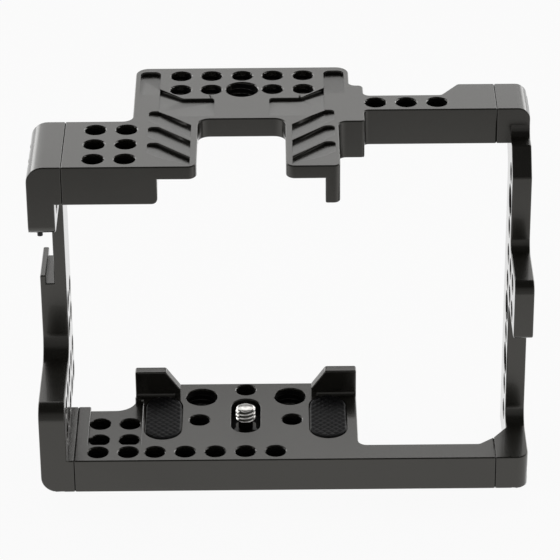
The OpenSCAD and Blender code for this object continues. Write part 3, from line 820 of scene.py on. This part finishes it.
def screw_boss():
    """The boss under the screw's head, as the CAD node has it."""
    boss = traced("camera_screw", "camera_screw_boss")
    boss_top = -8.97
    pick(boss)
    bpy.ops.object.mode_set(mode="EDIT")
    bpy.ops.mesh.select_all(action="SELECT")
    bpy.ops.mesh.bisect(
        plane_co=place(0, SCREW_Y, boss_top),
        plane_no=(0, 0, 1),
        clear_outer=True,
        use_fill=True,
    )
    bpy.ops.object.mode_set(mode="OBJECT")
    return smooth(boss, 30)


screw = camera_screw()
wear(screw, BRIGHT, "camera_screw")
# The photographed base plate shows no mirror image of the screw.
screw.visible_glossy = False
wear(screw_boss(), BRIGHT, "camera_screw")
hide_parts("camera_screw")

# ---- Small pieces that keep their CAD shape ----
for node, material in (
    ("left_pad_adhesive", TAPE),
    ("right_pad_adhesive", TAPE),
    ("slot_bush", NYLON),
    ("screw_washer", BRIGHT),
    ("screw_ring", BRIGHT),
    ("clamp_set_screw", OXIDE),
    ("base_left_screws", OXIDE),
    ("base_right_screw", OXIDE),
    ("top_left_screws", OXIDE),
    ("top_right_screws", OXIDE),
    ("base_left_dowels", GROUND),
    ("base_right_dowel", GROUND),
    ("top_left_dowels", GROUND),
    ("top_right_dowels", GROUND),
):
    nodes[node].data.materials.clear()
    nodes[node].data.materials.append(material)


# ---- Studio ----
def studio_floor():
    # A white paper floor. The camera and the mirrors see it glow white, a little less so
    # towards the photographer, and a faint shadow of the cage stays on it.
    glow_share = 0.94
    deselect_all()
    bpy.ops.mesh.primitive_plane_add(size=8, location=(0, 0, -0.2 * MM))
    floor = named("studio_floor")
    material, tree = blank("studio_paper_white")
    where = add(tree, "ShaderNodeTexCoord").outputs["Object"]
    spread = add(tree, "ShaderNodeSeparateXYZ", links=[("Vector", where)])
    paper = add(tree, "ShaderNodeBsdfDiffuse", Color=shade("#f4f3f1"))
    path = add(tree, "ShaderNodeLightPath")
    falloff = add(
        tree,
        "ShaderNodeMapRange",
        links=[("Value", spread.outputs["Y"])],
        From_Min=-0.3,
        From_Max=-0.1,
        To_Min=0.4,
        To_Max=1.0,
        interpolation_type="SMOOTHSTEP",
    )
    level = add(
        tree,
        "ShaderNodeMix",
        links=[("Factor", path.outputs["Is Camera Ray"]), (2, falloff.outputs["Result"])],
    )
    # The camera itself sees the full white of input 3.
    level.inputs[3].default_value = 1.0
    glow = add(
        tree,
        "ShaderNodeEmission",
        links=[("Strength", level.outputs[0])],
        Color=shade("#ffffff"),
    )
    seen = add(
        tree,
        "ShaderNodeMath",
        links=[(0, path.outputs["Is Camera Ray"]), (1, path.outputs["Is Glossy Ray"])],
        operation="MAXIMUM",
    )
    weight = add(tree, "ShaderNodeMath", links=[(0, seen.outputs[0])], operation="MULTIPLY")
    weight.inputs[1].default_value = glow_share
    surface = add(
        tree,
        "ShaderNodeMixShader",
        links=[("Fac", weight.outputs[0]), (1, paper.outputs[0]), (2, glow.outputs[0])],
    )
    finish_surface(tree, surface)
    floor.data.materials.append(material)


def back_softbox():
    # A wide, shallow softbox beyond the cage. The level faces mirror it to the photographer.
    height = 0.373
    place_at, aim = Vector((0, 0.4, height)), Vector((0, 0, height))
    deselect_all()
    bpy.ops.object.light_add(type="AREA", location=place_at)
    lamp = bpy.context.object
    lamp.name = "back_softbox"
    lamp.data.shape = "RECTANGLE"
    lamp.data.size, lamp.data.size_y = 1.3, 0.256
    lamp.data.energy = 1.25
    lamp.rotation_euler = (aim - place_at).to_track_quat("-Z", "Y").to_euler()


def studio_world():
    # The room: even grey walls, a dark ceiling and a bright panel low down on either side of
    # the cage, beyond it. The camera sees plain white.
    world = bpy.data.worlds.new("studio_room")
    bpy.context.scene.world = world
    world.use_nodes = True
    tree = world.node_tree
    tree.nodes.clear()
    where = add(tree, "ShaderNodeTexCoord").outputs["Generated"]
    split = add(tree, "ShaderNodeSeparateXYZ", links=[("Vector", where)])
    beyond = add(
        tree,
        "ShaderNodeMapRange",
        links=[("Value", split.outputs["Y"])],
        From_Min=-0.25,
        From_Max=0.6,
        To_Min=0.1,
        To_Max=1.0,
        interpolation_type="SMOOTHSTEP",
    )
    wall = add(
        tree,
        "ShaderNodeMapRange",
        links=[("Value", split.outputs["Z"])],
        From_Min=0.5,
        From_Max=0.85,
        To_Min=0.27,
        To_Max=0.04,
        interpolation_type="SMOOTHSTEP",
    )
    low = add(
        tree,
        "ShaderNodeMapRange",
        links=[("Value", split.outputs["Z"])],
        From_Min=0.1,
        From_Max=0.42,
        To_Min=3.2,
        To_Max=0.0,
        interpolation_type="SMOOTHSTEP",
    )
    aside = add(tree, "ShaderNodeMath", links=[(0, split.outputs["X"])], operation="ABSOLUTE")
    panel = add(
        tree,
        "ShaderNodeMapRange",
        links=[("Value", aside.outputs[0])],
        From_Min=0.28,
        From_Max=0.55,
        To_Min=0.3,
        To_Max=1.0,
        interpolation_type="SMOOTHSTEP",
    )
    panels = add(
        tree,
        "ShaderNodeMath",
        links=[(0, low.outputs["Result"]), (1, panel.outputs["Result"])],
        operation="MULTIPLY",
    )
    level = add(
        tree,
        "ShaderNodeMath",
        links=[
            (0, beyond.outputs["Result"]),
            (1, panels.outputs[0]),
            (2, wall.outputs["Result"]),
        ],
        operation="MULTIPLY_ADD",
    )
    path = add(tree, "ShaderNodeLightPath")
    strength = add(
        tree,
        "ShaderNodeMix",
        links=[("Factor", path.outputs["Is Camera Ray"]), (2, level.outputs[0])],
    )
    # The camera itself sees the full white of input 3.
    strength.inputs[3].default_value = 1.0
    sky = add(
        tree,
        "ShaderNodeBackground",
        links=[("Strength", strength.outputs[0])],
        Color=shade("#ffffff"),
    )
    add(tree, "ShaderNodeOutputWorld", links=[("Surface", sky.outputs[0])])


def photographer():
    # Found from the centres of the holes on four of the cage's planes. The focal length was
    # found in pixels of the photograph.
    photo_width_px, focal_px = 560, 3219.56
    sensor_mm = 36
    stand = place(10.221, -805.768, 522.539)
    pitch, yaw, roll = (math.radians(v) for v in (29.928, 0.034, 0.485))
    forward = Vector(
        (math.sin(yaw) * math.cos(pitch), math.cos(yaw) * math.cos(pitch), -math.sin(pitch))
    )
    right = Vector((math.cos(yaw), -math.sin(yaw), 0))
    down = forward.cross(right)
    turned_right = right * math.cos(roll) + down * math.sin(roll)
    turned_down = down * math.cos(roll) - right * math.sin(roll)
    turn = Matrix((turned_right, -turned_down, -forward)).transposed().to_4x4()
    deselect_all()
    bpy.ops.object.camera_add()
    camera = bpy.context.object
    camera.name = "photographer"
    camera.data.sensor_width = sensor_mm
    camera.data.lens = sensor_mm * focal_px / photo_width_px
    camera.data.clip_start = 0.05
    camera.matrix_world = Matrix.Translation(stand) @ turn
    bpy.context.scene.camera = camera


studio_floor()
back_softbox()
studio_world()
photographer()
bpy.context.scene.view_settings.view_transform = "Standard"
